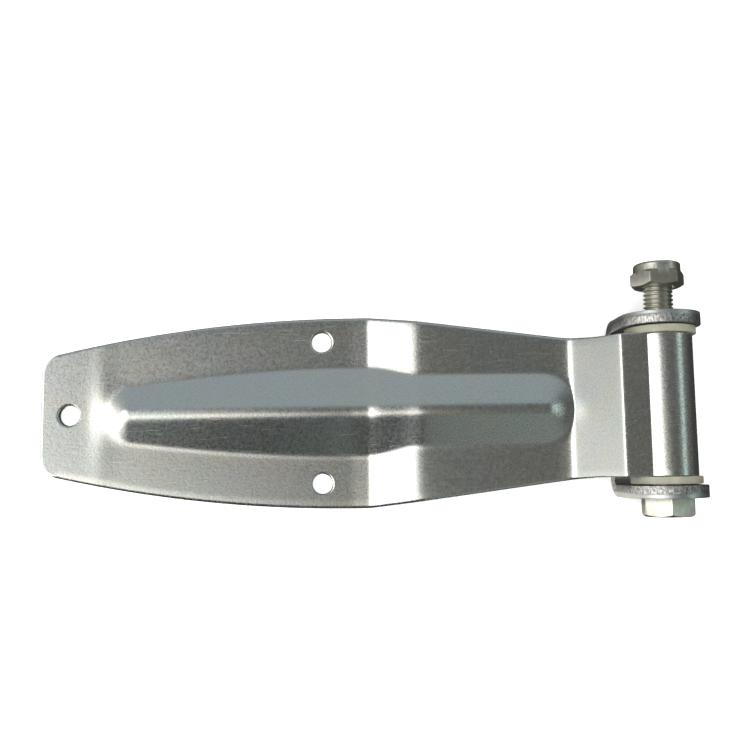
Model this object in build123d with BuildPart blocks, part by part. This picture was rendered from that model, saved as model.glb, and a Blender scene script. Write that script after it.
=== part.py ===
from build123d import *
import os

# Strap hinge for a truck body or container door, in millimetres.
# The origin is on the mounting plane, straight below the hinge pin. +X runs from the strap's
# free end towards the knuckle, +Y along the pin towards the nut, +Z away from the mounting plane.

# ---------------------------------------------------------------- driving dimensions
# Strap, pressed from one piece of sheet
strap_sheet = 3.0            # thickness of the sheet
strap_length = 257.0         # from the pin's axis to the free end
strap_half_width = 40.4      # half the width at its widest
free_end_half = 24.3         # half the width at the free end
free_corner_r = 8.0          # corner radius of the free end
strap_hole_d = 8.5           # the three bolt holes, for M8
end_hole_from_end = 12.0     # the hole on the centre line, from the free end
side_holes_from_end = 118.0  # the pair of holes, from the free end
side_hole_inset = 10.4       # the pair, from where the strap's edge is widest
widest_from_end = 132.0      # where the curved sides stop growing
ramp_from_end = 137.6        # foot of the first step
ramp_run = 20.8              # length of the first step
ramp_rise = 7.0              # height of the first step
slope_foot = 34.3            # foot of the second step, from the pin's axis
slope_top = 19.0             # top of the second step, from the pin's axis
neck_from_pin = 26.0         # where the taper meets the straight neck
neck_blend_r = 40.0          # hollow corner between taper and neck
shelf_over_pin = 8.5         # top of the sheet where it enters the roll, above the pin's axis
shelf_climb = 0.5            # how much the short shelf before the roll still climbs
tight_bend_r = 4.0           # top-side radius of the hollow bends
soft_bend_r = 12.0           # top-side radius of the rounded bends

# Stiffening bead along the strap: its ridge is two flanks with a rounded crest
bead_from_end = 28.0         # where the bead starts
bead_nose_run = 7.0          # the steep start of the bead
bead_swell_run = 80.0        # from the nose to the full width
bead_nose_half = 11.0        # half widths, at the flange's surface
bead_full_half = 18.6
bead_level_half = 15.0
bead_tail_half = 9.0
bead_nose_ridge = 4.2        # heights of the flanks' meeting line over the flange
bead_full_ridge = 9.2
bead_level_ridge = 6.3
bead_tail_ridge = 4.4
bead_crest_r = 8.0           # rounding of the crest
bead_start_half = 4.0
bead_start_ridge = 0.6
bead_tail_from_pin = 48.0    # where the bead starts to narrow towards the second step
bead_stop_from_pin = 30.0    # where it has run into the second step

# Knuckle
eye_length = 57.0
bush_wall = 3.4
bush_flange = 3.0
bush_flange_lip = 1.5        # how far each flange stands out past the rolled eye
bush_apart = 9.0             # between the two bushes, in the middle of the eye
seam = 0.6                   # gap where the rolled sheet comes back to itself

# Bracket, bent from thicker plate
bracket_plate = 5.0
bracket_half = 16.0          # half its length along the strap, and the ears' top radius
bracket_bend_r = 3.0         # inside radius of its two bends
bracket_hole_d = 9.0         # two countersunk holes in its web, for M8
bracket_sink_d = 17.0
bracket_hole_inset = 14.0    # from an ear's inner face to the hole beside it

# Bolt and nut, M12
bolt_d = 12.0
bolt_past_ear = 16.0         # how far the bolt's end stands out of the bracket
bolt_thread = 34.0           # threaded length at the bolt's end
thread_undersize = 0.2       # on the diameter, as made
hex_wall = 3.5               # from the thread to the flats of head and nut, 19 across
hex_head = 7.5
hex_turn = -41.0             # how far the head happens to be turned about the pin
nut_turn = -4.0              # the same for the nut
nut_height = 9.7
nut_hex = 6.0                # its hexagon, below the crimped collar
collar_wall = 1.9            # of the nut's collar, around the ring
nut_gap = 11.5               # between the nut and the bracket's ear, the nut being run on part way
insert_wall = 1.5            # of the plastic ring held in the collar
insert_height = 2.0
lip_overhang = 0.5           # how far the crimped lip comes in over the ring
hex_chamfer = 0.9

# Clearances
bush_fit = 0.05              # radial, bush in the rolled eye
pin_fit = 0.05               # radial, bolt in the bush
ear_hole_fit = 0.5           # radial, bolt in the bracket's ears
side_play = 0.5              # between each bush flange and its ear
web_clearance = 3.0          # between the bush flanges and the bracket's web
thread_fit = 0.1             # radial, bolt in the nut and its ring
insert_fit = 0.02            # around the ring, in its groove

# ---------------------------------------------------------------- worked-out sizes
free_end_x = -strap_length
ramp_foot_x = free_end_x + ramp_from_end
ramp_top_x = ramp_foot_x + ramp_run
widest_x = free_end_x + widest_from_end
eye_half = eye_length / 2
bush_bore_r = bolt_d / 2 + pin_fit
bush_r = bush_bore_r + bush_wall
eye_bore_r = bush_r + bush_fit
eye_r = eye_bore_r + strap_sheet
bush_flange_r = eye_r + bush_flange_lip
bush_sleeve = (eye_length - bush_apart) / 2
pin_height = bracket_plate + web_clearance + bush_flange_r
shelf_top = pin_height + shelf_over_pin
sheet_stops_in = eye_bore_r - strap_sheet    # inside the roll, so that no corner is left
ear_inside = eye_half + bush_flange + side_play
ear_outside = ear_inside + bracket_plate
ear_top = pin_height + bracket_half
side_hole_pitch = 2 * (strap_half_width - side_hole_inset)
bracket_hole_pitch = 2 * (ear_inside - bracket_hole_inset)
bolt_length = 2 * ear_outside + bolt_past_ear
hex_across_flats = bolt_d + 2 * hex_wall
insert_d = bolt_d + 2 * insert_wall
nut_collar_d = insert_d + 2 * collar_wall
lip_d = insert_d - 2 * lip_overhang
nut_face_y = ear_outside + nut_gap
above_all = 2 * ear_top
cut_past = 1.0               # how far a cut runs past the face that it leaves
insert_base = nut_height - hex_chamfer - insert_height

pin_plane = Plane.XZ         # looks along +Y: local x is X, local y is Z
os.makedirs("parts", exist_ok=True)


def bead_section(x, flange_top, half, ridge, depth, floor_below):
    """The ridge's section at x, its flanks set in by depth, down to a floor in or under the sheet."""
    flank = ridge / half
    apex = flange_top + ridge - depth * (1 + flank**2) ** 0.5
    floor = flange_top - floor_below
    base_half = (apex - floor) / flank
    with BuildSketch(Plane.YZ.offset(x)) as section:
        with BuildLine():
            Polyline((-base_half, floor), (base_half, floor), (0, apex), close=True)
        make_face()
        fillet(section.vertices().sort_by(Axis.Y)[-1], bead_crest_r - depth)
    return section.sketch


def bead(depth, floor_below):
    """Sections along the bead: its nose, its swell, the step up, and the tail at the second step."""
    low = strap_sheet
    high = strap_sheet + ramp_rise
    nose_x = free_end_x + bead_from_end
    stations = (
        (nose_x, low, bead_start_half, bead_start_ridge),
        (nose_x + bead_nose_run, low, bead_nose_half, bead_nose_ridge),
        (nose_x + bead_nose_run + bead_swell_run, low, bead_full_half, bead_full_ridge),
        (ramp_foot_x, low, bead_full_half, bead_full_ridge),
        (ramp_top_x, high, bead_level_half, bead_level_ridge),
        (-bead_tail_from_pin, high, bead_level_half, bead_level_ridge),
        (-bead_stop_from_pin, high, bead_tail_half, bead_tail_ridge),
    )
    return [bead_section(*station, depth, floor_below) for station in stations]


# ---------------------------------------------------------------- strap
with BuildPart() as strap:
    # the sheet's side view, from the free end to where it enters the roll
    with BuildSketch(pin_plane):
        with BuildLine():
            FilletPolyline(
                (free_end_x, strap_sheet),
                (ramp_foot_x, strap_sheet),
                (ramp_top_x, strap_sheet + ramp_rise),
                (-slope_foot, strap_sheet + ramp_rise),
                (-slope_top, shelf_top - shelf_climb),
                (-sheet_stops_in, shelf_top),
                radius=(tight_bend_r, soft_bend_r, tight_bend_r, tight_bend_r),
            )
            offset(amount=strap_sheet, side=Side.RIGHT, kind=Kind.INTERSECTION)
        make_face()
    extrude(amount=strap_half_width + cut_past, both=True)

    # the blank's outline: curved sides, a taper from the first step, and a straight neck
    with BuildSketch():
        with BuildLine():
            Line((free_end_x, 0), (free_end_x, free_end_half))
            TangentArc(
                (widest_x, strap_half_width), (free_end_x, free_end_half), tangent=(-1, 0)
            )
            Polyline(
                (widest_x, strap_half_width),
                (ramp_foot_x, strap_half_width),
                (-neck_from_pin, eye_half),
                (eye_r, eye_half),
                (eye_r, 0),
            )
            mirror(about=Plane.XZ)
        blank = make_face()
        fillet(blank.vertices().group_by(Axis.X)[0], free_corner_r)
        fillet(blank.vertices().filter_by_position(Axis.X, -neck_from_pin, -neck_from_pin), neck_blend_r)
    extrude(amount=above_all, mode=Mode.INTERSECT)

    # the roll, its bore and the seam under the entering sheet
    with BuildSketch(pin_plane):
        with Locations((0, pin_height)):
            Circle(eye_r)
    extrude(amount=eye_half, both=True)
    with BuildSketch(pin_plane):
        with Locations((0, pin_height)):
            Circle(eye_bore_r)
        with Locations((-eye_bore_r, shelf_top - strap_sheet)):
            Rectangle(2.4 * strap_sheet, seam, align=(Align.CENTER, Align.MAX))
    extrude(amount=eye_half + cut_past, both=True, mode=Mode.SUBTRACT)

    # the bead, raised and then hollowed from below
    loft(bead(depth=0, floor_below=strap_sheet / 2), ruled=True)
    loft(bead(depth=strap_sheet, floor_below=strap_sheet + cut_past), ruled=True, mode=Mode.SUBTRACT)

    # bolt holes
    with Locations((free_end_x + end_hole_from_end, 0, strap_sheet)):
        Hole(strap_hole_d / 2)
    with Locations((free_end_x + side_holes_from_end, 0, strap_sheet)):
        with GridLocations(0, side_hole_pitch, 1, 2):
            Hole(strap_hole_d / 2)
strap.part.label = "strap"
export_step(strap.part, "parts/strap.step")

# ---------------------------------------------------------------- bushes
# one pushed into each end of the rolled eye; the two are alike
for name, side in (("nut_side_bush", 1), ("head_side_bush", -1)):
    with BuildPart() as bush:
        with BuildSketch(pin_plane.offset(-side * eye_half)):
            with Locations((0, pin_height)):
                Circle(bush_flange_r)
        extrude(amount=-side * bush_flange)
        with BuildSketch(pin_plane.offset(-side * eye_half)):
            with Locations((0, pin_height)):
                Circle(bush_r)
        extrude(amount=side * bush_sleeve)
        with BuildSketch(pin_plane):
            with Locations((0, pin_height)):
                Circle(bush_bore_r)
        extrude(amount=ear_outside, both=True, mode=Mode.SUBTRACT)
    bush.part.label = name
    export_step(bush.part, f"parts/{name}.step")

# ---------------------------------------------------------------- bracket
with BuildPart() as bracket:
    # a channel: web on the mounting plane, two ears standing up
    with BuildSketch(Plane.YZ):
        with BuildLine():
            FilletPolyline(
                (ear_outside, ear_top),
                (ear_outside, 0),
                (-ear_outside, 0),
                (-ear_outside, ear_top),
                radius=bracket_bend_r + bracket_plate,
            )
            offset(amount=bracket_plate, side=Side.RIGHT)
        make_face()
    extrude(amount=bracket_half, both=True)
    # ears rounded about the pin
    with BuildSketch(pin_plane):
        with Locations((0, pin_height)):
            Circle(bracket_half)
        Rectangle(2 * bracket_half, pin_height, align=(Align.CENTER, Align.MIN))
    extrude(amount=ear_outside, both=True, mode=Mode.INTERSECT)
    with BuildSketch(pin_plane):
        with Locations((0, pin_height)):
            Circle(bolt_d / 2 + ear_hole_fit)
    extrude(amount=ear_outside, both=True, mode=Mode.SUBTRACT)
    with Locations((0, 0, bracket_plate)):
        with GridLocations(0, bracket_hole_pitch, 1, 2):
            CounterSinkHole(bracket_hole_d / 2, bracket_sink_d / 2)
bracket.part.label = "bracket"
export_step(bracket.part, "parts/bracket.step")

# ---------------------------------------------------------------- hinge bolt
head_face = Plane((0, -ear_outside, pin_height), x_dir=(1, 0, 0), z_dir=(0, 1, 0))
with BuildPart() as hinge_bolt:
    with BuildSketch(head_face):
        RegularPolygon(hex_across_flats / 2, 6, major_radius=False, rotation=hex_turn)
    extrude(amount=-hex_head)
    # the corners are turned off at the outer end
    with BuildSketch(head_face.offset(-hex_head)):
        Circle(hex_across_flats / 2 - hex_chamfer / 4)
    extrude(amount=hex_head + hex_chamfer, taper=-60, mode=Mode.INTERSECT)
    with BuildSketch(head_face):
        Circle(bolt_d / 2)
    extrude(amount=bolt_length - bolt_thread)
    with BuildSketch(head_face.offset(bolt_length - bolt_thread)):
        Circle((bolt_d - thread_undersize) / 2)
    extrude(amount=bolt_thread)
    chamfer(hinge_bolt.edges().sort_by(Axis.Y)[-1], hex_chamfer)
hinge_bolt.part.label = "hinge_bolt"
export_step(hinge_bolt.part, "parts/hinge_bolt.step")

# ---------------------------------------------------------------- lock nut and its ring
nut_face = Plane((0, nut_face_y, pin_height), x_dir=(1, 0, 0), z_dir=(0, 1, 0))
with BuildPart() as lock_nut:
    with BuildSketch(nut_face):
        RegularPolygon(hex_across_flats / 2, 6, major_radius=False, rotation=nut_turn)
    extrude(amount=nut_hex)
    with BuildSketch(nut_face):
        Circle(hex_across_flats / 2 - hex_chamfer / 4)
    extrude(amount=nut_hex, taper=-60, mode=Mode.INTERSECT)
    with BuildSketch(nut_face.offset(nut_hex)):
        Circle(nut_collar_d / 2)
    extrude(amount=nut_height - nut_hex)
    chamfer(lock_nut.edges().sort_by(Axis.Y)[-1], hex_chamfer)
    with BuildSketch(nut_face):
        Circle(bolt_d / 2 - thread_undersize / 2 + thread_fit)
    extrude(amount=nut_height, mode=Mode.SUBTRACT)
    with BuildSketch(nut_face.offset(insert_base)):
        Circle(insert_d / 2)
    extrude(amount=insert_height, mode=Mode.SUBTRACT)
    with BuildSketch(nut_face.offset(insert_base)):
        Circle(lip_d / 2)
    extrude(amount=nut_height, mode=Mode.SUBTRACT)
lock_nut.part.label = "lock_nut"
export_step(lock_nut.part, "parts/lock_nut.step")

with BuildPart() as nut_insert:
    with BuildSketch(nut_face.offset(insert_base + insert_fit)):
        Circle(insert_d / 2 - insert_fit)
        Circle(bolt_d / 2 - thread_undersize / 2 + thread_fit, mode=Mode.SUBTRACT)
    extrude(amount=insert_height - 2 * insert_fit)
nut_insert.part.label = "nut_insert"
export_step(nut_insert.part, "parts/nut_insert.step")
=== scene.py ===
import math

import bmesh
import bpy
import numpy as np
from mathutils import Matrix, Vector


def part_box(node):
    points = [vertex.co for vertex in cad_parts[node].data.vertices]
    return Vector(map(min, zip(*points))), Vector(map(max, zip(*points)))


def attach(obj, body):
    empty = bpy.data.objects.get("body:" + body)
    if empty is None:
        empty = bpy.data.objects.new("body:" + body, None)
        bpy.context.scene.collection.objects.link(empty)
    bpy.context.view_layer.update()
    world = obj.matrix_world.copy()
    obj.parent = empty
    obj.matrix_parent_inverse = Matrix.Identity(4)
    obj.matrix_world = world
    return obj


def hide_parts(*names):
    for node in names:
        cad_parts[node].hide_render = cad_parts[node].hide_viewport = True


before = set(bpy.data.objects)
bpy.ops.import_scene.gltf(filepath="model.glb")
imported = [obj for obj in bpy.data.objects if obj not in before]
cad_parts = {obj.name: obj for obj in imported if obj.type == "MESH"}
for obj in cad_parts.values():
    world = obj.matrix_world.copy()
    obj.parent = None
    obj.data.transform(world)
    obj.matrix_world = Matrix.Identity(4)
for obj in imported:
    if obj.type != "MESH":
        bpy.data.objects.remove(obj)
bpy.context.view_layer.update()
MM = 0.001

# ---------------------------------------------------------------- strap
# One blank of 3 mm sheet steel, pressed with a long stiffening bead and two steps, punched with
# three bolt holes, its end rolled into the eye that holds the bushes, then zinc plated.
strap_low, strap_high = (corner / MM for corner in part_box("strap"))
free_end, eye_r = strap_low.x, strap_high.x
pin_z = strap_high.z - eye_r
half_width = strap_high.y
eye_half = 28.5
sheet = 3.0
level = sheet
free_half, widest, neck = 24.3, free_end + 132, -26
hole_r = 4.25
end_hole_in, side_holes_in, side_hole_y = 12.0, 118.0, 30.0
holes_at = [(free_end + end_hole_in, 0.0)]
holes_at += [(free_end + side_holes_in, y) for y in (side_hole_y, -side_hole_y)]
ramp_foot, ramp_top, ramp_rise = free_end + 137.6, free_end + 158.4, 7.0
slope_foot, slope_top, slope_rise = -34.3, -19.0, 20.0
shelf_slope = 0.5 / 12.5
roll_starts = -11.2
hollow_r = 1.0
roll_end = math.radians(-202.5)
edge_r, eye_edge_r = 1.3, 0.5
edge_steps = np.array([0, 0.1, 0.3, 0.6, 1.0])
corner_r = 8.0
crest_r = 8.0
bead_full_half, bead_thinning, bead_step_in = 18.6, 6.8, 3.6
nose_x, nose_reach = free_end + 38.0, 13.0
tail_x, tail_reach = -47.0, 18.5


def bend(x, at, soft):
    """Zero before the bend, then a slope of one, with a rounded corner."""
    return 0.5 * (x - at + np.sqrt((x - at) ** 2 + soft**2))


def eased(x, start, end):
    """From 0 to 1 between two places, without a corner."""
    t = np.clip((x - start) / (end - start), 0, 1)
    return t * t * (3 - 2 * t)


def lower_line(x):
    """Height of the flanges' top: flat, a first step, and flat again."""
    slope = ramp_rise / (ramp_top - ramp_foot)
    lead_in = 0.07 * (bend(x, ramp_foot - 7, 2.0) - bend(x, ramp_foot, 0.3))
    step = slope * (bend(x, ramp_foot, 0.55) - bend(x, ramp_top, 2.6))
    return level + lead_in + step


def side_line(x):
    """The same with the second step and the short shelf in front of the roll."""
    slope = slope_rise / (slope_foot - slope_top)
    lead_in = 0.06 * (bend(x, slope_foot - 6, 2.0) - bend(x, slope_foot, 0.3))
    step = -slope * (bend(x, slope_foot, 1.5) - bend(x, slope_top, 0.4))
    return lower_line(x) + lead_in + step + shelf_slope * bend(x, slope_top, 0.4)


def bead_half(x):
    """Half the bead's width where its flanks meet the flange."""
    thinned = np.clip((ramp_foot - 14 - x) / 88, 0, 1.2) ** 1.6
    return bead_full_half - bead_thinning * thinned - bead_step_in * eased(x, ramp_foot, ramp_top)


def bead_slope(x):
    """How steep its flanks are."""
    return 0.46 + 0.05 * eased(x, nose_x, nose_x + 70) - 0.09 * eased(x, ramp_foot, ramp_top)


def bead_line(x, y):
    """Height of the bead alone: two flanks, a rounded crest, a half cone at each end."""
    steep = bead_slope(x)
    half = bead_half(x)
    before = np.minimum(x - nose_x, 0) * bead_half(nose_x) / nose_reach
    after = np.maximum(x - tail_x, 0) * half / tail_reach
    out = np.sqrt(before**2 + after**2 + y**2)
    crest = crest_r * steep / np.sqrt(1 + steep**2)
    inside = np.minimum(out, crest)
    rounded = np.sqrt(crest_r**2 - inside**2) - np.sqrt(crest_r**2 - crest**2)
    drop = np.where(out > crest, steep * out, steep * crest - rounded)
    return lower_line(x) + steep * half - drop


def top_height(x, y):
    """The pressed sheet's upper face, its bead running out into the flange with a hollow corner."""
    flange, ridge = side_line(x), bead_line(x, y)
    hollow = 0.22 + 1.6 * np.exp(-(((x - nose_x + nose_reach) / 6) ** 2))
    return 0.5 * (flange + ridge + np.sqrt((flange - ridge) ** 2 + hollow**2))


def under_height(x, y):
    """The lower face, one thickness away everywhere, as a ball rolled under the sheet leaves it."""
    lowest = top_height(x, y) - sheet
    for reach in (0.7, 1.4, 2.0, 2.5, 2.85):
        for turn in np.arange(12) * math.pi / 6:
            beside = top_height(x + reach * math.cos(turn), y + reach * math.sin(turn))
            lowest = np.minimum(lowest, beside - math.sqrt(sheet**2 - reach**2))
    return lowest


def outline(x):
    """Half the blank's width: curved sides, a taper from the first step, a straight neck."""
    rise, run = half_width - free_half, widest - free_end
    big_r = (run**2 + rise**2) / (2 * rise)
    curved = half_width - big_r + np.sqrt(big_r**2 - np.minimum(x - widest, 0) ** 2)
    taper = (half_width - eye_half) / (neck - ramp_foot)
    side = curved - taper * (bend(x, ramp_foot, 0.6) - bend(x, neck, 0.9))
    into = np.clip(free_end + corner_r - x, 0, corner_r)
    return side - corner_r + np.sqrt(corner_r**2 - into**2)


def roll_path():
    """Points and outward directions in side view, along the shelf, the hollow bend and the roll."""
    shelf_z = float(side_line(np.array(roll_starts)))
    tilt = math.atan(shelf_slope)
    base = shelf_z - pin_z - shelf_slope * roll_starts + hollow_r / math.cos(tilt)
    reach = eye_r + hollow_r
    a, b, c = 1 + shelf_slope**2, 2 * base * shelf_slope, base**2 - reach**2
    hollow_x = (-b - math.sqrt(b * b - 4 * a * c)) / (2 * a)
    hollow_z = pin_z + base + shelf_slope * hollow_x
    meets = math.atan2(hollow_z - pin_z, hollow_x)
    bend_ends = meets - math.pi / 2
    path = []
    for x in np.linspace(roll_starts, hollow_x + hollow_r * math.sin(tilt), 4)[:-1]:
        path.append((x, shelf_z + shelf_slope * (x - roll_starts), tilt))
    for way in np.linspace(tilt, bend_ends, 12)[:-1]:
        path.append((hollow_x + hollow_r * math.sin(way), hollow_z - hollow_r * math.cos(way), way))
    for spot in np.linspace(meets, roll_end, 110):
        path.append((eye_r * math.cos(spot), pin_z + eye_r * math.sin(spot), spot - math.pi / 2))
    return np.array(path)


def new_piece(name, points, faces):
    """A new object, its mesh in place, from points in millimetres."""
    mesh = bpy.data.meshes.new(name)
    mesh.from_pydata((np.asarray(points, float) * MM).tolist(), [], faces)
    piece = bpy.data.objects.new(name, mesh)
    bpy.context.scene.collection.objects.link(piece)
    return piece


def apply_modifiers(piece):
    """Keeps the shape that the modifiers give and removes them."""
    bpy.context.view_layer.update()
    graph = bpy.context.evaluated_depsgraph_get()
    piece.data = bpy.data.meshes.new_from_object(piece.evaluated_get(graph))
    piece.modifiers.clear()


def shade(piece, angle, outwards=True):
    """Merged, facing outwards, smooth, and sharp where two faces meet at more than the angle."""
    shape = bmesh.new()
    shape.from_mesh(piece.data)
    bmesh.ops.remove_doubles(shape, verts=shape.verts, dist=1e-7)
    if outwards:
        bmesh.ops.recalc_face_normals(shape, faces=shape.faces)
    shape.to_mesh(piece.data)
    shape.free()
    piece.data.shade_smooth()
    piece.data.set_sharp_from_angle(angle=math.radians(angle))


def turned(name, section, around=72, centre=(0.0, 0.0), axis="Y"):
    """A ring turned from a closed section of (radius, height) points."""
    points, count = [], len(section)
    for step in range(around):
        turn = 2 * math.pi * step / around
        for radius, height in section:
            across, beyond = radius * math.cos(turn), radius * math.sin(turn)
            if axis == "Y":
                points.append((centre[0] + across, height, centre[1] + beyond))
            else:
                points.append((centre[0] + across, centre[1] + beyond, height))
    faces = []
    for step in range(around):
        here, there = step * count, (step + 1) % around * count
        for i in range(count):
            j = (i + 1) % count
            faces.append((here + i, here + j, there + j, there + i))
    return new_piece(name, points, faces)


def rounded(points, radius, steps=4):
    """A closed section whose corners are rounded."""
    result = []
    for i, corner in enumerate(points):
        corner = np.array(corner, float)
        before, after = np.array(points[i - 1], float), np.array(points[(i + 1) % len(points)], float)
        way_in, way_out = corner - before, after - corner
        cut = min(radius, 0.45 * np.linalg.norm(way_in), 0.45 * np.linalg.norm(way_out))
        start = corner - way_in / np.linalg.norm(way_in) * cut
        end = corner + way_out / np.linalg.norm(way_out) * cut
        for t in np.linspace(0, 1, steps):
            result.append(tuple((1 - t) ** 2 * start + 2 * t * (1 - t) * corner + t * t * end))
    return result


def sheet_rows():
    """Places along the strap up to the roll, closer together where it bends."""
    spaced = [np.linspace(ramp_foot - 8, ramp_foot + 5, 27), np.linspace(ramp_top - 6, ramp_top + 6, 17)]
    spaced += [np.linspace(slope_foot - 8, slope_foot + 5, 29), np.linspace(slope_top - 4, roll_starts, 16)]
    spaced += [np.linspace(nose_x - nose_reach - 5, nose_x + 4, 32), np.linspace(tail_x, tail_x + 22, 30)]
    spaced += [free_end + edge_steps * edge_r, np.linspace(free_end, roll_starts, 130)]
    spaced += [free_end + corner_r * (1 - np.cos(np.linspace(0, math.pi / 2, 14)))]
    rows = np.unique(np.round(np.concatenate(spaced), 2))
    return rows[np.insert(np.diff(rows) > 0.1, 0, True)]


def sheet_columns(toe, half, radius):
    """Places across the strap in each row: over the bead, around its toe, then out to the edge."""
    crest, usual_half = crest_r * 0.45, 18
    on_crest = np.linspace(0, 1, 7)[:-1] * crest / usual_half
    on_flank = crest / usual_half + np.linspace(0, 1, 9)[:-1] * (0.93 - crest / usual_half)
    bead_cols = np.concatenate([on_crest, on_flank])
    near_toe = np.array([0.93, 0.96, 0.98, 0.992, 1.0])
    flange_cols = np.array([0.02, 0.05, 0.1, 0.17, 0.27, 0.38, 0.5, 0.62, 0.75, 0.88])
    across = []
    for t, h, r in zip(toe, half, radius):
        inner = np.concatenate([bead_cols, near_toe]) * min(t, h - r - 1)
        outer = inner[-1] + flange_cols * (h - r - inner[-1])
        right = np.concatenate([inner, outer, h - edge_steps[::-1] * r])
        across.append(np.concatenate([-right[:0:-1], right]))
    return np.array(across)


def edge_drop(x, y, half, radius, in_roll):
    """How far the rounded upper edge lies below the face, at each point."""
    from_side = half[:, None] - np.abs(y)
    from_end = x - free_end
    corner_y = outline(np.array(free_end + corner_r)) - corner_r
    in_corner = (np.abs(y) > corner_y) & (x < free_end + corner_r)
    from_corner = corner_r - np.hypot(x - free_end - corner_r, np.abs(y) - corner_y)
    far_away = 99.0
    from_outline = np.minimum(from_side, np.where(in_roll[:, None], far_away, from_end))
    inside = np.where(in_corner, from_corner, from_outline)
    share = 1 - np.clip(inside / radius[:, None], 0, 1)
    return radius[:, None] * (1 - np.sqrt(np.clip(1 - share**2, 0, 1)))


def sheet_faces(length, width):
    """The upper and the lower face, and the walls along the sides and across both ends."""
    below = length * width
    faces = []
    for i in range(length - 1):
        for j in range(width - 1):
            a = i * width + j
            faces.append((a, a + width, a + width + 1, a + 1))
            faces.append((below + a, below + a + 1, below + a + width + 1, below + a + width))
        for a, flip in ((i * width, False), (i * width + width - 1, True)):
            wall = (a, below + a, below + a + width, a + width)
            faces.append(wall[::-1] if flip else wall)
    for j in range(width - 1):
        for a, flip in ((j, True), ((length - 1) * width + j, False)):
            wall = (a, below + a, below + a + 1, a + 1)
            faces.append(wall[::-1] if flip else wall)
    return faces


def pressed_sheet():
    """The whole strap as one closed sheet: rows along it, columns across it."""
    rows, roll = sheet_rows(), roll_path()
    flat = len(rows)
    toe = np.clip((bead_line(rows, 0 * rows) - side_line(rows)) / bead_slope(rows), 4.0, None)
    toe = np.concatenate([toe, np.full(len(roll), toe[-1])])
    along = np.concatenate([rows, roll[:, 0]])
    in_roll = np.arange(len(along)) >= flat
    radius = edge_r + (eye_edge_r - edge_r) * eased(along, slope_foot, slope_top)
    radius[in_roll] = eye_edge_r
    half = np.where(in_roll, eye_half, outline(along))
    y = sheet_columns(toe, half, radius)
    x = np.repeat(along[:, None], y.shape[1], axis=1)
    drop = edge_drop(x, y, half, radius, in_roll)
    top = np.stack([x, y, np.zeros_like(x)], axis=2)
    under = top.copy()
    top[:flat, :, 2] = top_height(x[:flat], y[:flat]) - drop[:flat]
    under[:flat, :, 2] = under_height(x[:flat], y[:flat])
    out_x, out_z = -np.sin(roll[:, 2])[:, None], np.cos(roll[:, 2])[:, None]
    top[flat:, :, 0] = roll[:, 0][:, None] - drop[flat:] * out_x
    top[flat:, :, 2] = roll[:, 1][:, None] - drop[flat:] * out_z
    under[flat:, :, 0] = roll[:, 0][:, None] - sheet * out_x
    under[flat:, :, 2] = roll[:, 1][:, None] - sheet * out_z
    points = np.concatenate([top.reshape(-1, 3), under.reshape(-1, 3)])
    return new_piece("pressed_strap", points, sheet_faces(*x.shape))


def punch(piece, place, mouth=1.1):
    """Punches one round hole, its upper rim drawn in as a punch leaves it."""
    bottom, top = -5.0, level + 3.0
    section = [(0.0, bottom), (hole_r, bottom)]
    for lean in np.radians(np.linspace(0, 78, 7)):
        section.append((hole_r + mouth * (1 - math.cos(lean)), level - mouth + mouth * math.sin(lean)))
    section += [(section[-1][0] + 0.3, top), (0.0, top)]
    section = [(max(radius, 0.001), height) for radius, height in section]
    cutter = turned("punch", section, around=48, centre=place, axis="Z")
    shade(cutter, 40)
    cut = piece.modifiers.new("hole", "BOOLEAN")
    cut.operation, cut.solver, cut.object = "DIFFERENCE", "EXACT", cutter
    apply_modifiers(piece)
    bpy.data.objects.remove(cutter)


class Field:
    """A value that changes over a surface: arithmetic on it adds Math nodes to its finish."""

    def __init__(self, finish, socket):
        self.finish, self.socket = finish, socket

    def math(self, operation, first, second=0.0):
        return self.finish.node("ShaderNodeMath", {"operation": operation}, {0: first, 1: second})

    def __add__(self, other):
        return self.math("ADD", self, other)

    def __sub__(self, other):
        return self.math("SUBTRACT", self, other)

    def __rsub__(self, other):
        return self.math("SUBTRACT", other, self)

    def __mul__(self, other):
        return self.math("MULTIPLY", self, other)

    def __pow__(self, other):
        return self.math("POWER", self, other)

    def __abs__(self):
        return self.math("ABSOLUTE", self)

    def at_least(self, other):
        return self.math("MAXIMUM", self, other)

    __radd__ = __add__
    __rmul__ = __mul__

    def between(self, low, high, start=0.0, end=1.0):
        """Goes from start to end as the value goes from low to high, eased at both ends."""
        sockets = {"Value": self, "From Min": low, "From Max": high, "To Min": start, "To Max": end}
        return self.finish.node("ShaderNodeMapRange", {"interpolation_type": "SMOOTHSTEP"}, sockets)


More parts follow.
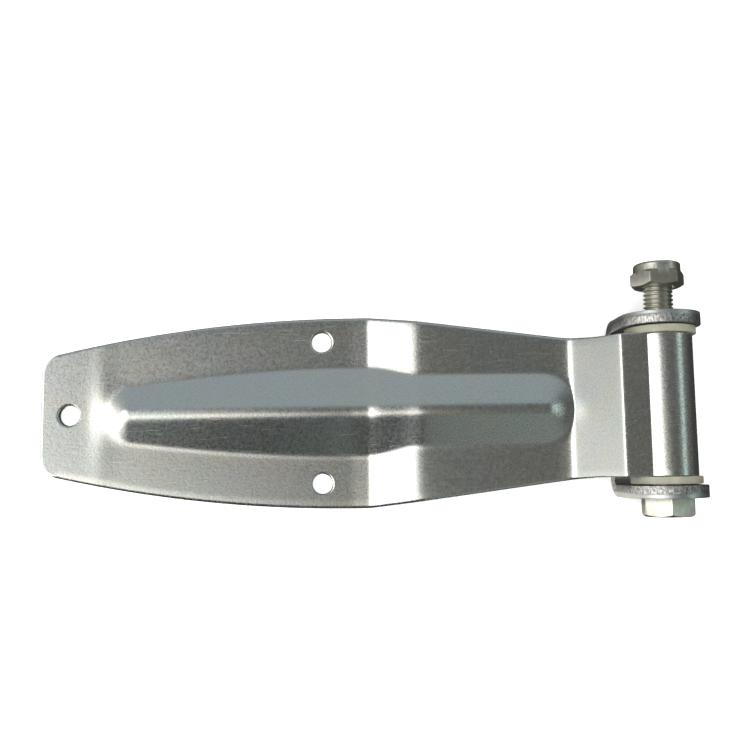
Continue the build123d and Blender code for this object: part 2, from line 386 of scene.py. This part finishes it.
class Finish:
    """A finish built from nodes, for a material or for the studio's surroundings."""

    def __init__(self, holder, shader):
        holder.use_nodes = True
        self.holder, self.tree = holder, holder.node_tree
        self.shader = next(n for n in self.tree.nodes if n.bl_idname == shader)

    def put(self, socket, value):
        if isinstance(value, Field):
            self.tree.links.new(value.socket, socket)
        elif hasattr(socket.default_value, "__len__") and len(socket.default_value) == 4 and len(value) == 3:
            socket.default_value = (*value, 1.0)
        else:
            socket.default_value = value

    def node(self, kind, settings=None, sockets=None, out=0):
        made = self.tree.nodes.new(kind)
        for name, value in (settings or {}).items():
            setattr(made, name, value)
        for name, value in (sockets or {}).items():
            self.put(made.inputs[name], value)
        return Field(self, made.outputs[out])

    def set(self, **sockets):
        for name, value in sockets.items():
            self.put(self.shader.inputs[name.replace("_", " ")], value)

    def place(self, scale=(1.0, 1.0, 1.0), turn=(0.0, 0.0, 0.0)):
        """Object coordinates in millimetres, stretched or turned."""
        here = self.node("ShaderNodeTexCoord", out="Object")
        size = tuple(1 / MM * s for s in scale)
        return self.node("ShaderNodeMapping", {}, {"Vector": here, "Scale": size, "Rotation": turn})

    def noise(self, at, size, detail=2.0, rough=0.5, warp=0.0):
        """Cloudy values around one half, with patches about as wide as size."""
        sockets = {"Vector": at, "Scale": 1 / size, "Detail": detail, "Roughness": rough, "Distortion": warp}
        return self.node("ShaderNodeTexNoise", {}, sockets)

    def cells(self, at, size):
        """Distance from scattered spots about size apart."""
        sockets = {"Vector": at, "Scale": 1 / size}
        return self.node("ShaderNodeTexVoronoi", {"feature": "F1"}, sockets, "Distance")

    def blend(self, share, first, second):
        """One colour turning into the other."""
        share_in, first_in, second_in, colour_out = 0, 6, 7, 2
        sockets = {share_in: share, first_in: first, second_in: second}
        return self.node("ShaderNodeMix", {"data_type": "RGBA"}, sockets, colour_out)

    def bump(self, height, depth):
        """Raised and sunk by up to depth, in millimetres."""
        sockets = {"Height": height, "Distance": depth * MM, "Strength": 1.0}
        return self.node("ShaderNodeBump", {}, sockets)


def material(name):
    return Finish(bpy.data.materials.new(name), "ShaderNodeBsdfPrincipled")


def zinc_on_sheet():
    """Bright zinc over rolled sheet: fine mottling, faint rolling lines, scratches and specks,
    a slight blue, green or straw tint in places, and rubbed edges."""
    finish = material("zinc_on_sheet")
    at = finish.place()
    grain = finish.noise(at, 0.45, 3.0, 0.6)
    mottle = finish.noise(at, 1.1, 4.0, 0.65)
    clouds = finish.noise(at, 22.0, 2.0, 0.5)
    rolled = finish.noise(finish.place(scale=(0.06, 1.0, 1.0)), 0.5, 2.0, 0.5)
    tint = finish.noise(finish.place(scale=(0.5, 1.0, 1.0)), 16.0, 2.0, 0.5)
    scratch_a = finish.noise(finish.place(scale=(0.04, 1.3, 1.0), turn=(0, 0, 0.5)), 1.0, 1.0)
    scratch_b = finish.noise(finish.place(scale=(0.05, 1.6, 1.0), turn=(0, 0, -1.1)), 1.0, 1.0)
    scratches = scratch_a.between(0.70, 0.74) + scratch_b.between(0.71, 0.75)
    specks = finish.cells(at, 2.6).between(0.10, 0.05) * finish.noise(at, 9.0).between(0.52, 0.66)
    wear = finish.node("ShaderNodeAttribute", {"attribute_name": "wear"}, {}, "Fac")
    rubbed = wear * mottle.between(0.25, 0.6)
    plain = finish.blend(tint.between(0.35, 0.62), (0.60, 0.615, 0.625), (0.625, 0.62, 0.585))
    plain = finish.blend(clouds.between(0.45, 0.7), plain, (0.585, 0.625, 0.60))
    dulled = finish.blend(mottle.between(0.35, 0.75) * 0.5, plain, (0.50, 0.505, 0.50))
    marked = finish.blend(specks * 0.8, dulled, (0.16, 0.155, 0.15))
    colour = finish.blend(rubbed * 0.7, marked, (0.78, 0.78, 0.77))
    roughness = 0.19 + mottle.between(0.3, 0.75) * 0.13 + grain * 0.06 - scratches * 0.06 - rubbed * 0.04
    height = grain * 0.8 + mottle * 1.3 + rolled * 0.35 - scratches * 0.5 - specks * 2.0
    finish.set(Base_Color=colour, Metallic=1.0, Roughness=roughness, Normal=finish.bump(height, 0.03))
    return finish.holder


def mark_wear(piece):
    """Writes how rubbed each point is: most at the outline's rounded edge."""
    mesh = piece.data
    spots = np.empty(len(mesh.vertices) * 3)
    mesh.vertices.foreach_get("co", spots)
    x, y = (spots.reshape(-1, 3) / MM).T[:2]
    from_edge = np.minimum(np.where(x < roll_starts, outline(x), eye_half) - np.abs(y), x - free_end)
    worn = np.clip(1 - from_edge / 1.6, 0, 1)
    mesh.attributes.new("wear", "FLOAT", "POINT").data.foreach_set("value", worn.astype(np.float32))


strap = pressed_sheet()
shade(strap, 45)
for hole_at in holes_at:
    punch(strap, hole_at)
shade(strap, 38, outwards=False)
mark_wear(strap)
strap.data.materials.clear()
strap.data.materials.append(zinc_on_sheet())
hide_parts("strap")
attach(strap, "strap_body")

# ---------------------------------------------------------------- bushes
# Two flanged bushes moulded in natural nylon, pushed into the ends of the eye. Their sleeves run on
# the bolt, and their flanges keep the eye off the bracket's ears.
bolt_r = 6.0
bush_bore = bolt_r + 0.05
bush_outside = eye_r - sheet - 0.05


def nylon():
    """Nylon, slightly see-through, with grey dirt and faint tool marks, its colour darkened as painted shade.
    """
    finish = material("nylon_painted_shade")
    at = finish.place()
    clouds = finish.noise(at, 6.0, 3.0)
    dirt = finish.noise(at, 1.8, 5.0, 0.65).between(0.52, 0.78)
    grain = finish.noise(at, 0.35, 2.0)
    # painted shade: both colours are far darker than off-white nylon, to dim it under the strong overhead
    # lamp
    plain = finish.blend(clouds.between(0.35, 0.65), (0.225, 0.22, 0.175), (0.185, 0.178, 0.138))
    colour = finish.blend(dirt * 0.45, plain, (0.145, 0.137, 0.115))
    height = grain * 0.5 + clouds
    finish.set(Base_Color=colour, Roughness=0.42 + dirt * 0.2, Normal=finish.bump(height, 0.03))
    finish.set(Subsurface_Weight=0.12, Subsurface_Radius=(0.002, 0.0016, 0.001), Subsurface_Scale=1.0)
    return finish.holder


nylon_with_painted_shade = nylon()
for node, side in (("nut_side_bush", 1), ("head_side_bush", -1)):
    bush_low, bush_high = (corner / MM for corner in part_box(node))
    flange_r = (bush_high.z - bush_low.z) / 2
    outer_face = side * max(abs(bush_low.y), abs(bush_high.y))
    inner_end = side * min(abs(bush_low.y), abs(bush_high.y))
    seat = side * eye_half
    section = [(bush_bore, outer_face), (flange_r, outer_face), (flange_r, seat)]
    section += [(bush_outside, seat), (bush_outside, inner_end), (bush_bore, inner_end)]
    bush = turned(node + "_moulding", rounded(section, 0.25), around=96, centre=(0.0, pin_z))
    shade(bush, 50)
    bush.data.materials.append(nylon_with_painted_shade)
    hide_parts(node)
    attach(bush, "strap_body")

# ---------------------------------------------------------------- bracket
# A U of 5 mm plate that is screwed down through its web. Its sheared rims are torn and grainy, its
# broad faces smooth, and all of it is zinc plated after bending.
ear_r, ear_outside = (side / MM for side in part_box("bracket")[1].xy)
rim_r = 0.7


def zinc_on_plate():
    """Zinc over hot-rolled plate: smooth broad faces, and rims that the shears left smooth beside
    the ear's outer face and torn further in, the torn part coloured with painted shade and highlights."""
    finish = material("zinc_on_plate")
    at = finish.place()
    x, y, z = (finish.node("ShaderNodeSeparateXYZ", {}, {"Vector": at}, axis) for axis in "XYZ")
    above = (z - pin_z).at_least(0.0)
    from_pin = (x * x + above * above) ** 0.5
    past_shear = abs(y).between(ear_outside - 1.1, ear_outside - 2.2)
    rim = from_pin.between(ear_r - 0.9, ear_r - 0.35) * past_shear
    torn = finish.noise(finish.place(scale=(1.0, 0.45, 1.0)), 0.7, 5.0, 0.7, 0.4)
    pits = finish.cells(at, 0.55)
    mottle = finish.noise(at, 2.2, 4.0, 0.6)
    grain = finish.noise(at, 0.4, 3.0, 0.6)
    face = finish.blend(mottle.between(0.3, 0.7), (0.60, 0.61, 0.60), (0.50, 0.51, 0.505))
    # painted shade and highlight: the torn rim is dark where its bump sinks and bright where it rises
    edge = finish.blend(torn.between(0.38, 0.62), (0.22, 0.215, 0.21), (0.66, 0.65, 0.64))
    colour = finish.blend(rim, face, edge)
    roughness = 0.34 + mottle * 0.14 - rim * 0.06
    height = grain * 0.4 + mottle * 0.7 + rim * (torn * 7.0 + pits * 3.0)
    finish.set(Base_Color=colour, Metallic=1.0, Roughness=roughness, Normal=finish.bump(height, 0.03))
    return finish.holder


def round_edges(piece, radius, segments, angle):
    """Rounds the edges where two faces meet at more than the angle."""
    soften = piece.modifiers.new("edges", "BEVEL")
    soften.width, soften.segments, soften.limit_method = radius * MM, segments, "ANGLE"
    soften.angle_limit = math.radians(angle)
    apply_modifiers(piece)


bracket = bpy.data.objects.new("bent_bracket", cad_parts["bracket"].data.copy())
bpy.context.scene.collection.objects.link(bracket)
plate = bmesh.new()
plate.from_mesh(bracket.data)
bmesh.ops.remove_doubles(plate, verts=plate.verts, dist=2e-6)
bmesh.ops.dissolve_limit(plate, angle_limit=math.radians(0.5), verts=plate.verts, edges=plate.edges)
plate.to_mesh(bracket.data)
plate.free()
round_edges(bracket, rim_r, 3, 40)
shade(bracket, 30, outwards=False)
bracket.data.materials.clear()
bracket.data.materials.append(zinc_on_plate())
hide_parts("bracket")
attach(bracket, "bracket_body")

# ---------------------------------------------------------------- hinge bolt
# An M12 hexagon bolt, cold headed with a turned chamfer, its thread rolled, zinc plated. It is the
# hinge's pin: its head bears on one ear and its thread stands out past the other.
bolt_low, bolt_high = (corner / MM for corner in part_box("hinge_bolt"))
head_top, bolt_end = bolt_low.y, bolt_high.y
head_height, thread_length = 7.5, 34.0
head_base = head_top + head_height
flats_r = 9.5
bolt_turn, nut_turn = math.radians(41.0), math.radians(4.0)
thread_pitch, thread_depth, thread_r = 1.75, 1.05, 5.9
thread_starts = bolt_end - thread_length


def hexagon(turn):
    """Reach of a hexagon's flats in a direction, from the middle."""
    return flats_r / math.cos(turn % (math.pi / 3) - math.pi / 6)


def hex_turned(name, rings, spin, sides=96, closed=False):
    """A piece turned about the pin's axis from rings. A ring is a radius and a height, and either
    may be a function of the angle from a corner, which is how the hexagon's faces are cut."""
    points, faces = [], []
    for radius, height in rings:
        for step in range(sides):
            turn = 2 * math.pi * step / sides
            reach = radius(turn) if callable(radius) else radius
            up = height(turn) if callable(height) else height
            points.append((reach * math.cos(turn + spin), up, pin_z + reach * math.sin(turn + spin)))
    last = len(rings) - 1
    for i in range(len(rings) if closed else last):
        here, there = i * sides, (i + 1) % len(rings) * sides
        for step in range(sides):
            after = (step + 1) % sides
            faces.append((here + step, here + after, there + after, there + step))
    if not closed:
        points += [(0, rings[0][1], pin_z), (0, rings[last][1], pin_z)]
        for step in range(sides):
            after = (step + 1) % sides
            faces.append((len(points) - 2, after, step))
            faces.append((len(points) - 1, last * sides + step, last * sides + after))
    return new_piece(name, points, faces)


def thread_tree(name):
    """Geometry Nodes that cut a vee thread: each point of the shank sinks towards the axis by a
    wave that climbs one pitch a turn, and the thread runs out at both of its ends."""
    tree = bpy.data.node_groups.new(name, "GeometryNodeTree")
    tree.interface.new_socket("Geometry", in_out="INPUT", socket_type="NodeSocketGeometry")
    for label in ("Pitch", "Depth", "Start", "End", "Axis height", "Largest radius"):
        tree.interface.new_socket(label, in_out="INPUT", socket_type="NodeSocketFloat")
    tree.interface.new_socket("Material", in_out="INPUT", socket_type="NodeSocketMaterial")
    tree.interface.new_socket("Geometry", in_out="OUTPUT", socket_type="NodeSocketGeometry")
    given, result = tree.nodes.new("NodeGroupInput"), tree.nodes.new("NodeGroupOutput")

    def add(kind, settings, *sources):
        made = tree.nodes.new(kind)
        for label, value in settings.items():
            setattr(made, label, value)
        for socket, source in zip(made.inputs, sources):
            if isinstance(source, (int, float)):
                socket.default_value = source
            elif source is not None:
                tree.links.new(source, socket)
        return made.outputs[0]

    def work(operation, *sources):
        return add("ShaderNodeMath", {"operation": operation}, *sources)

    split = tree.nodes.new("ShaderNodeSeparateXYZ")
    tree.links.new(add("GeometryNodeInputPosition", {}), split.inputs[0])
    x, y, z = split.outputs
    up = work("SUBTRACT", z, given.outputs["Axis height"])
    radius = work("SQRT", work("ADD", work("MULTIPLY", x, x), work("MULTIPLY", up, up)))
    turns = work("DIVIDE", work("ARCTAN2", up, x), 2 * math.pi)
    along = work("DIVIDE", y, given.outputs["Pitch"])
    phase = work("FRACT", work("SUBTRACT", along, turns))
    flank_gain, crest_flat = 1.35, 0.2
    saw = work("ABSOLUTE", work("SUBTRACT", work("MULTIPLY", phase, 2.0), 1.0))
    flank = work("SUBTRACT", work("MULTIPLY", saw, flank_gain), crest_flat)
    root = work("MINIMUM", work("MAXIMUM", flank, 0.0), 1.0)
    begin = work("DIVIDE", work("SUBTRACT", y, given.outputs["Start"]), given.outputs["Pitch"])
    finish = work("DIVIDE", work("SUBTRACT", given.outputs["End"], y), given.outputs["Pitch"])
    fade = work("MINIMUM", work("MAXIMUM", work("MINIMUM", begin, finish), 0.0), 1.0)
    depth = work("MULTIPLY", work("MULTIPLY", root, fade), given.outputs["Depth"])
    kept = work("DIVIDE", work("SUBTRACT", radius, depth), work("MAXIMUM", radius, 1e-6))
    moved = add("ShaderNodeCombineXYZ", {}, work("MULTIPLY", x, kept), y,
                work("ADD", work("MULTIPLY", up, kept), given.outputs["Axis height"]))
    on_shank = add("FunctionNodeCompare", {"operation": "LESS_THAN"}, radius, given.outputs["Largest radius"])
    shifted = add("GeometryNodeSetPosition", {}, given.outputs["Geometry"], on_shank, moved)
    realised = add("GeometryNodeRealizeInstances", {}, shifted)
    painted = add("GeometryNodeSetMaterial", {}, realised, None, given.outputs["Material"])
    tree.links.new(painted, result.inputs["Geometry"])
    return tree


thread_nodes = thread_tree("rolled_thread")


def cut_thread(piece, start, end, largest_r, finish):
    """Runs the thread tree on a piece and keeps the result as a plain mesh."""
    cutter = piece.modifiers.new("thread", "NODES")
    cutter.node_group = thread_nodes
    values = {"Pitch": thread_pitch * MM, "Depth": thread_depth * MM, "Start": start * MM}
    values |= {"End": end * MM, "Axis height": pin_z * MM, "Largest radius": largest_r * MM}
    values["Material"] = finish
    for item in thread_nodes.interface.items_tree:
        if item.in_out == "INPUT" and item.name in values:
            cutter[item.identifier] = values[item.name]
    apply_modifiers(piece)


def zinc_on_steel():
    """Bright zinc on cold-formed fasteners: satin, with blotches, rubbed spots and a warm tint."""
    finish = material("zinc_on_steel")
    at = finish.place()
    blotch = finish.noise(at, 2.4, 4.0, 0.6)
    grain = finish.noise(at, 0.3, 3.0, 0.6)
    rubbed = finish.noise(finish.place(scale=(1.0, 0.3, 1.0)), 1.4, 4.0, 0.6).between(0.55, 0.75)
    plain = finish.blend(blotch.between(0.35, 0.65), (0.62, 0.605, 0.545), (0.52, 0.50, 0.44))
    colour = finish.blend(rubbed * 0.6, plain, (0.80, 0.78, 0.73))
    roughness = 0.26 + blotch * 0.16 - rubbed * 0.05
    finish.set(Base_Color=colour, Metallic=1.0, Roughness=roughness)
    finish.set(Normal=finish.bump(grain * 0.6 + blotch, 0.02))
    return finish.holder


def chamfered(top, outwards, flat_r=flats_r - 0.3):
    """Height of a turned chamfer over a hexagon's side, lower at its corners."""
    return lambda turn: top - outwards * max(hexagon(turn) - flat_r, 0.0) * math.tan(math.radians(30))


steel_finish = zinc_on_steel()
shank_rows = np.arange(thread_starts, bolt_end - 0.7, thread_pitch / 14)
head_rings = [(5.0, head_top + 0.05), (8.6, head_top + 0.05), (flats_r - 0.3, head_top)]
head_rings += [(hexagon, chamfered(head_top, -1)), (hexagon, head_base - 3.0), (hexagon, head_base)]
head_rings += [(7.5, head_base), (6.6, head_base), (bolt_r, head_base + 0.4)]
head_rings += [(bolt_r, y) for y in np.linspace(head_base + 2, thread_starts - 1.0, 8)]
head_rings += [(thread_r, y) for y in shank_rows]
head_rings += [(thread_r - 0.35, bolt_end - 0.35), (thread_r - 0.95, bolt_end), (2.0, bolt_end)]
bolt = hex_turned("hex_bolt", head_rings, bolt_turn)
cut_thread(bolt, thread_starts, bolt_end, thread_r + 0.06, steel_finish)
round_edges(bolt, 0.22, 2, 50)
shade(bolt, 32)
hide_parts("hinge_bolt")
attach(bolt, "bolt_body")

# ---------------------------------------------------------------- lock nut and its ring
# An M12 lock nut: a hexagon chamfered on both faces, whose collar is crimped over a nylon ring that
# grips the thread. It is run on only part way.
nut_low, nut_high = (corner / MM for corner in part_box("lock_nut"))
nut_face, nut_top = nut_low.y, nut_high.y
hex_top = nut_face + 6.0
collar_r, lip_r, groove_r = 9.4, 7.0, 7.5
ring_low, ring_high = (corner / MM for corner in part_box("nut_insert"))
bore_r = thread_r + 0.1
nut_rings = [(bore_r + 0.7, nut_face), (8.9, nut_face), (flats_r - 0.3, nut_face)]
nut_rings += [(hexagon, chamfered(nut_face, -1)), (hexagon, nut_face + 3.2)]
nut_rings += [(hexagon, chamfered(hex_top, 1, flat_r=collar_r + 0.05))]
nut_rings += [(collar_r, hex_top + 0.3), (collar_r, nut_top - 1.1)]
for lean in np.radians(np.linspace(15, 90, 6)):
    nut_rings.append((collar_r - 1.1 + 1.1 * math.cos(lean), nut_top - 1.1 + 1.1 * math.sin(lean)))
nut_rings += [(lip_r + 0.25, nut_top - 0.05), (lip_r, nut_top - 0.35), (lip_r, ring_high.y + 0.03)]
nut_rings += [(groove_r, ring_high.y + 0.03), (groove_r, ring_low.y - 0.03)]
nut_rings += [(bore_r + 0.4, ring_low.y - 0.03)]
nut_rings += [(bore_r, y) for y in np.arange(ring_low.y - 0.4, nut_face + 0.6, -thread_pitch / 10)]
nut = hex_turned("locking_nut", nut_rings, nut_turn, closed=True)
cut_thread(nut, nut_face + 0.6, ring_low.y - 0.2, bore_r + 0.05, steel_finish)
round_edges(nut, 0.2, 2, 50)
shade(nut, 32)
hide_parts("lock_nut")
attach(nut, "nut_body")

ring_section = [(bore_r, ring_low.y), (groove_r - 0.02, ring_low.y)]
ring_section += [(groove_r - 0.02, ring_high.y), (bore_r, ring_high.y)]
ring = turned("locking_ring", rounded(ring_section, 0.35), around=72, centre=(0.0, pin_z))
shade(ring, 50)
ring.data.materials.append(nylon_with_painted_shade)
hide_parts("nut_insert")
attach(ring, "nut_body")

# ---------------------------------------------------------------- studio
# A pale floor under soft surroundings, whose brightness depends on direction: a broad bright wall on
# the left, a dim ceiling with one bright strip, a cooler wall beyond the hinge, a dark wall on the
# near side, and a narrow window on the right. The overhead lamp lights only the floor and the nylon.
floor_half, floor_z = 4000, -0.05
corners = [(-1, -1), (1, -1), (1, 1), (-1, 1)]
floor = new_piece("floor", [(floor_half * x, floor_half * y, floor_z) for x, y in corners], [(0, 1, 2, 3)])
floor_finish = material("floor_paper")
fibre = floor_finish.noise(floor_finish.place(), 3.0, 3.0)
floor_finish.set(Base_Color=floor_finish.blend(fibre, (0.93, 0.93, 0.93), (0.95, 0.95, 0.95)), Roughness=0.9)
floor.data.materials.append(floor_finish.holder)
floor.visible_glossy = False

world = bpy.data.worlds.new("studio")
bpy.context.scene.world = world
air = Finish(world, "ShaderNodeBackground")
direction = air.node("ShaderNodeTexCoord", out="Generated")
to_x, to_y, to_z = (air.node("ShaderNodeSeparateXYZ", {}, {"Vector": direction}, axis) for axis in "XYZ")
not_near = to_y.between(-0.66, -0.44)
left_wall = to_x.between(-0.29, -0.6) * to_z.between(0.36, 0.56) * to_y.between(0.5, 0.2) * not_near
low_left = to_x.between(-0.5, -0.8) * to_z.between(-0.25, 0.1, 0.55, 1.0) * not_near
beyond = to_y.between(0.35, 0.65)
near = to_y.between(-0.38, -0.56)
strip = to_y.between(-0.44, -0.32) * to_y.between(0.02, -0.12) * to_x.between(0.08, -0.3)
window = to_x.between(0.70, 0.75) * to_x.between(0.86, 0.81) * to_z.between(0.1, 0.2)
sky = air.blend(to_x.between(0.1, -0.3), (0.135, 0.135, 0.125), (0.16, 0.165, 0.16))
sky = air.blend(beyond, sky, (0.42, 0.475, 0.50))
sky = air.blend(near * to_x.between(0.12, -0.02), sky, (0.05, 0.055, 0.057))
sky = air.blend(near * to_x.between(-0.02, 0.12), sky, (0.27, 0.31, 0.29))
sky = air.blend(to_z.between(0.1, -0.1), sky, (0.06, 0.06, 0.056))
sky = air.blend(window, sky, (1.25, 1.55, 1.48))
sky = air.blend(strip, sky, (1.6, 1.55, 1.4))
sky = air.blend(low_left, sky, air.blend(to_y.between(-0.1, 0.25), (1.25, 1.25, 1.18), (0.55, 0.57, 0.55)))
sky = air.blend(left_wall, sky, (3.6, 3.6, 3.5))
seen = air.node("ShaderNodeLightPath", out="Is Camera Ray")
air.set(Color=air.blend(seen, sky, (0.95, 0.95, 0.95)), Strength=1.0)

overhead = bpy.data.objects.new("overhead", bpy.data.lights.new("overhead", "AREA"))
overhead.data.shape, overhead.data.size = "DISK", 2.6
overhead.data.energy = 58
overhead.location = (-0.3, -0.1, 1.6)
overhead.visible_glossy = False
bpy.context.scene.collection.objects.link(overhead)

camera = bpy.data.objects.new("camera", bpy.data.cameras.new("camera"))
camera.data.lens = 41.78
camera.location = (-0.12703, -0.02279, 0.37134)
camera.rotation_euler = tuple(math.radians(a) for a in (5.99, -1.59, -0.82))
bpy.context.scene.collection.objects.link(camera)
bpy.context.scene.camera = camera
bpy.context.scene.view_settings.view_transform = "Standard"
